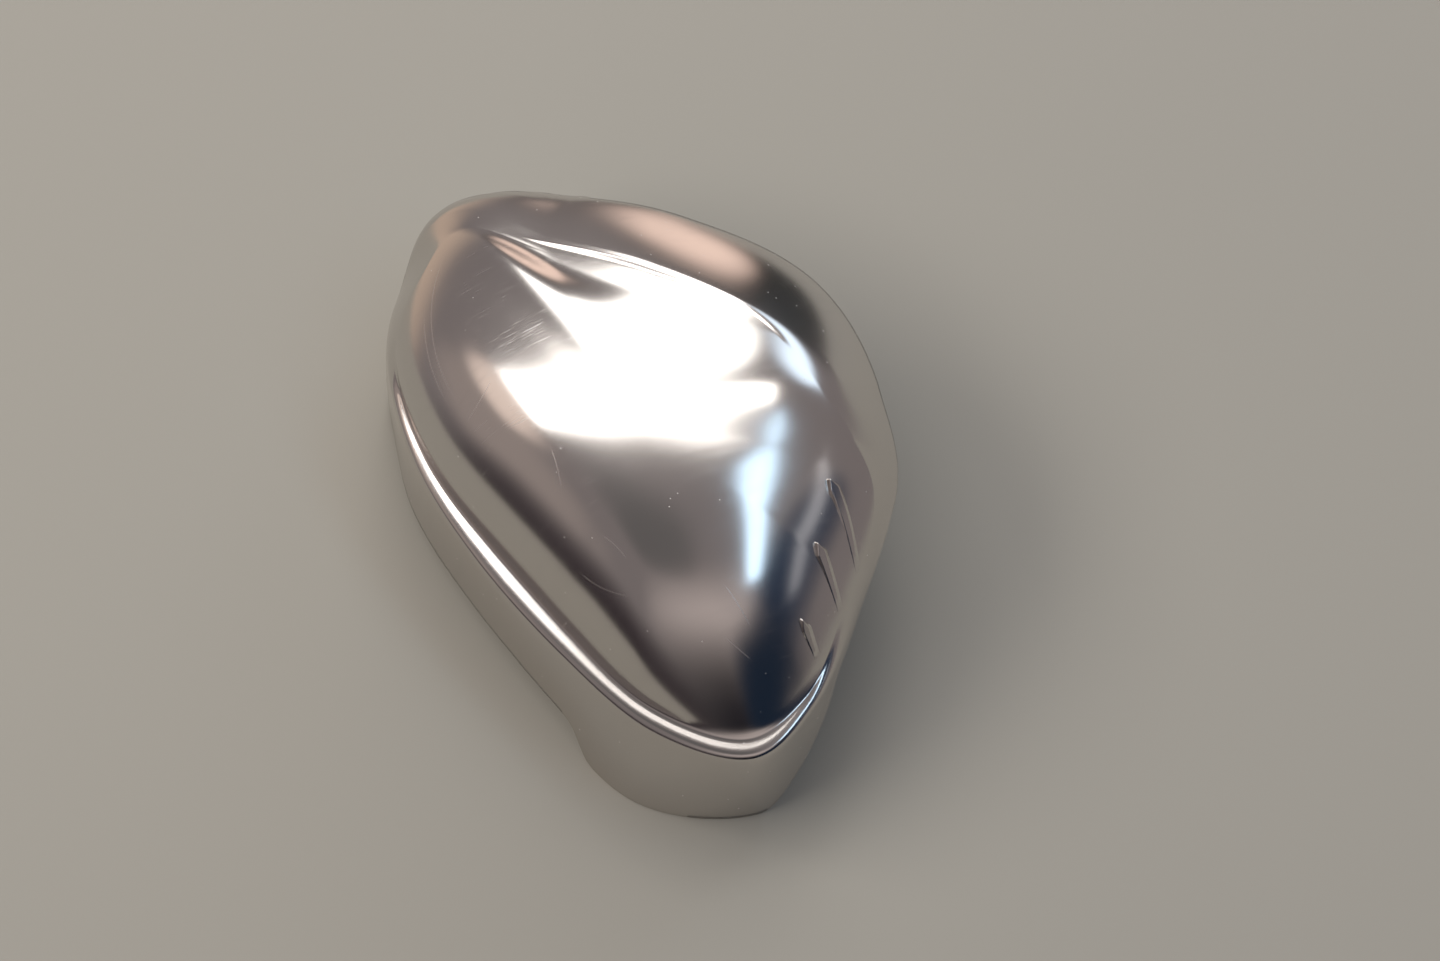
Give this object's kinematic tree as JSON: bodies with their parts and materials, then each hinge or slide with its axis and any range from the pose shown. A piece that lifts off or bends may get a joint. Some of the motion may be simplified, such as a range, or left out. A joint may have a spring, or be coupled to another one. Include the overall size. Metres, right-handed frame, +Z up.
{
  "type": "wing mirror cover",
  "caption": "One-piece moulded wing mirror cover with a ledge line, shark-fin flicks, inner snap tongues and pegs.",
  "frame": {"origin": "middle of the cover's plan, on the surface that its rim rests on", "axes": "+Z up through the crown, +Y towards the wide end along the cover's length, +X towards the fins"},
  "size_m": [0.159, 0.237, 0.088],
  "materials": {
    "satin_aluminium": "satin"
  },
  "bodies": {
    "root": {"mirror_cover": "satin_aluminium"}
  },
  "joints": []
}
